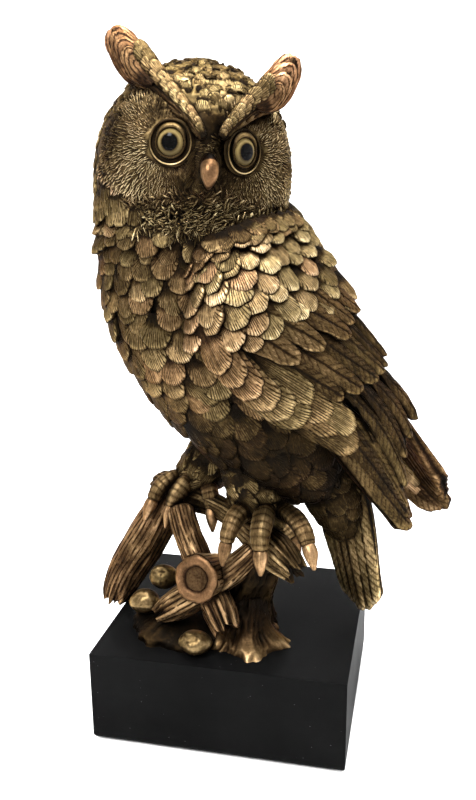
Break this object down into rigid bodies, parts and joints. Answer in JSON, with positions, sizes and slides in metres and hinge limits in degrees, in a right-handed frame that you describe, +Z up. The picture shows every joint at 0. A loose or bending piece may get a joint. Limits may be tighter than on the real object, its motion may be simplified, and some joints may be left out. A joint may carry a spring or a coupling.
{
  "type": "owl figurine",
  "caption": "Bronzed resin figurine of an eared owl perched on crossed driftwood, wings folded and head turned to the front, on a black rectangular plinth.",
  "frame": {"origin": "middle of the felt pad's underside, under the middle of the plinth", "axes": "+Z up through the owl's head; -Y out of the plinth's long front face, towards the viewer; +X to the viewer's right, towards the wing tips and tail"},
  "size_m": [0.165, 0.1114, 0.3106],
  "materials": {
    "bronze_patina": "antique gold bronze rubbed over a dark brown ground",
    "copper_patina": "rubbed copper highlights over a dark brown ground",
    "dark_bronze": "dark brown bronze with little rubbing",
    "amber_glass": "glossy painted glass eye, amber iris and black pupil",
    "black_plinth": "black satin lacquer",
    "black_felt": "matte felt",
    "zinc_steel": "zinc plated"
  },
  "bodies": {
    "root": {"plinth": "black_plinth", "felt_pad": "black_felt", "fixing_screws": "zinc_steel", "driftwood_mound": "dark_bronze", "perch_log": "bronze_patina", "prop_branch": "bronze_patina", "left_cross_branch": "bronze_patina", "right_cross_branch": "bronze_patina", "sawn_stub": "copper_patina", "sawn_stub_heart": "dark_bronze", "stump": "dark_bronze", "root_flare": "bronze_patina", "left_pebble": "bronze_patina", "back_pebble": "bronze_patina", "front_pebble": "bronze_patina", "torso": "bronze_patina", "breast_feathers": "bronze_patina", "mantle": "bronze_patina", "left_thigh": "bronze_patina", "right_thigh": "bronze_patina", "left_foot": "bronze_patina", "right_foot": "bronze_patina", "left_claws": "copper_patina", "right_claws": "copper_patina", "tail_feathers": "bronze_patina", "tail_coverts": "dark_bronze", "left_flight_feathers": "bronze_patina", "left_wing_coverts": "copper_patina", "right_flight_feathers": "bronze_patina", "right_wing_coverts": "copper_patina", "neck_ruff": "dark_bronze", "head": "bronze_patina", "left_face_disc": "bronze_patina", "right_face_disc": "bronze_patina", "left_ear_tuft": "copper_patina", "right_ear_tuft": "copper_patina", "beak": "copper_patina", "left_eye": "amber_glass", "right_eye": "amber_glass", "left_eye_ring": "bronze_patina", "right_eye_ring": "bronze_patina"}
  },
  "joints": []
}
